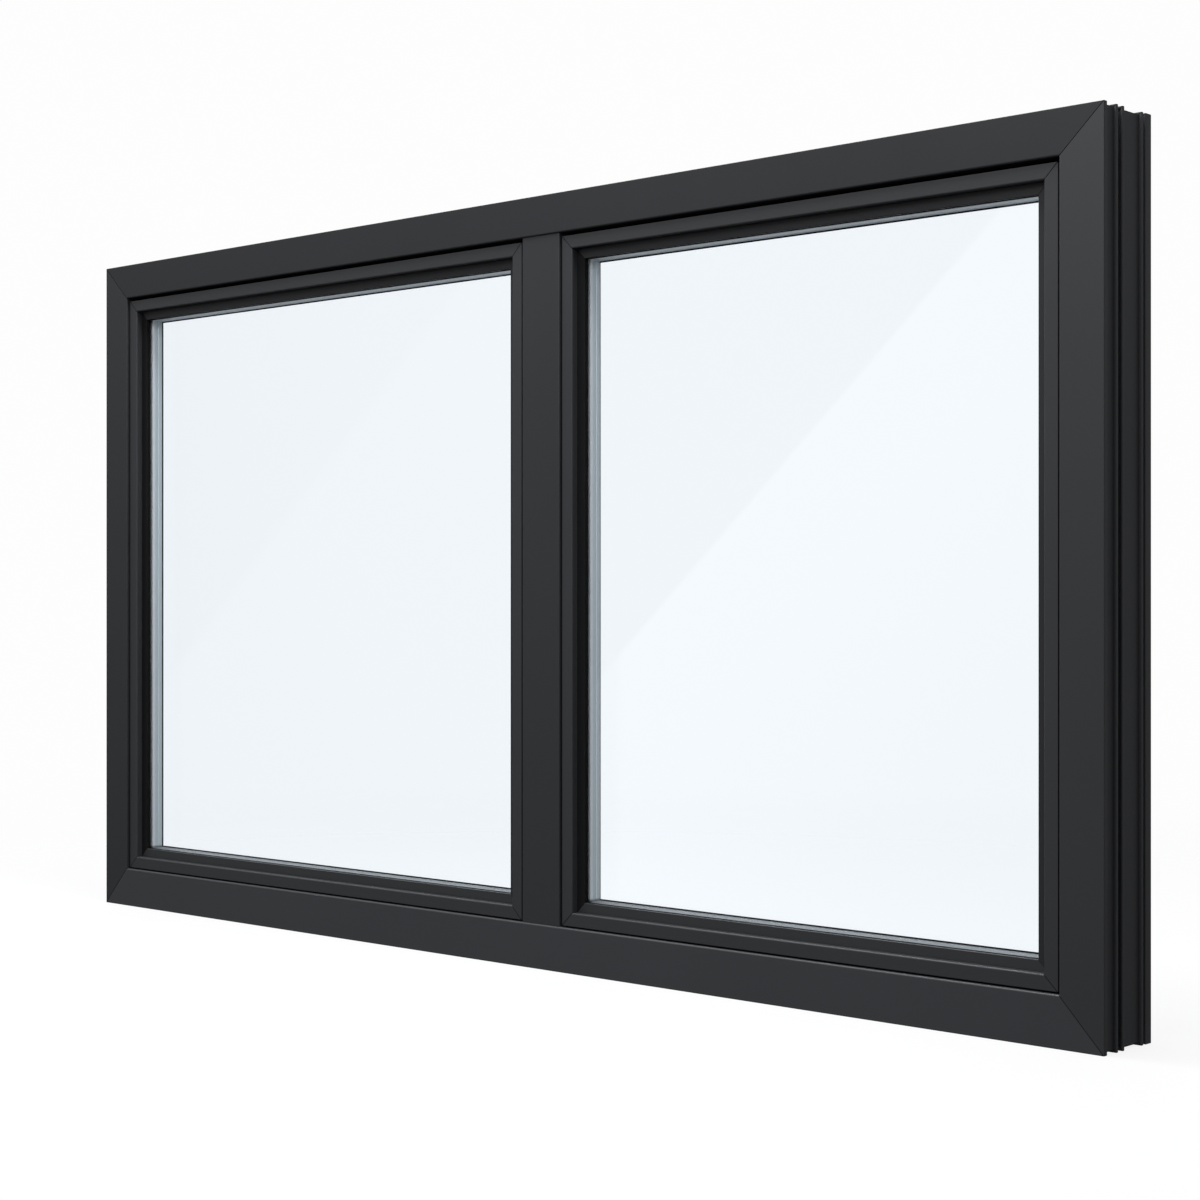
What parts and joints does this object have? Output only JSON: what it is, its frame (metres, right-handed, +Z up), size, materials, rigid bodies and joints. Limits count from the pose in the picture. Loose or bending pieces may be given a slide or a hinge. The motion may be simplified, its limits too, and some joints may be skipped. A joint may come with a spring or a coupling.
{
  "type": "awning window",
  "caption": "Dark powder-coated aluminium awning window: a ribbed mitred frame and mullion holding stepped, double-glazed sashes side by side.",
  "frame": {"origin": "middle of the window's width and depth, at the underside of the sill", "axes": "+X along the width, to the right as seen from the weather side; +Y from the weather side to the room side; +Z up"},
  "size_m": [1.6, 0.089, 0.9],
  "materials": {
    "frame": "satin charcoal powder coat",
    "sash": "satin charcoal powder coat",
    "bead": "satin charcoal powder coat",
    "handle": "satin black powder coat",
    "glass": "clear float glass",
    "spacer": "mill aluminium",
    "rubber": "matt black rubber"
  },
  "bodies": {
    "root": {"frame_head": "frame", "frame_left_jamb": "frame", "frame_right_jamb": "frame", "frame_sill": "frame", "left_bottom_glazing_bead": "bead", "left_closing_seal": "rubber", "left_glass_spacer": "spacer", "left_handle_base": "handle", "left_handle_lever": "handle", "left_inner_pane": "glass", "left_left_glazing_bead": "bead", "left_outer_pane": "glass", "left_right_glazing_bead": "bead", "left_room_gasket": "rubber", "left_sash_bottom_rail": "sash", "left_sash_left_stile": "sash", "left_sash_right_stile": "sash", "left_sash_top_rail": "sash", "left_top_glazing_bead": "bead", "left_weather_gasket": "rubber", "mullion": "frame", "right_bottom_glazing_bead": "bead", "right_closing_seal": "rubber", "right_glass_spacer": "spacer", "right_handle_base": "handle", "right_handle_lever": "handle", "right_inner_pane": "glass", "right_left_glazing_bead": "bead", "right_outer_pane": "glass", "right_right_glazing_bead": "bead", "right_room_gasket": "rubber", "right_sash_bottom_rail": "sash", "right_sash_left_stile": "sash", "right_sash_right_stile": "sash", "right_sash_top_rail": "sash", "right_top_glazing_bead": "bead", "right_weather_gasket": "rubber"}
  },
  "joints": []
}
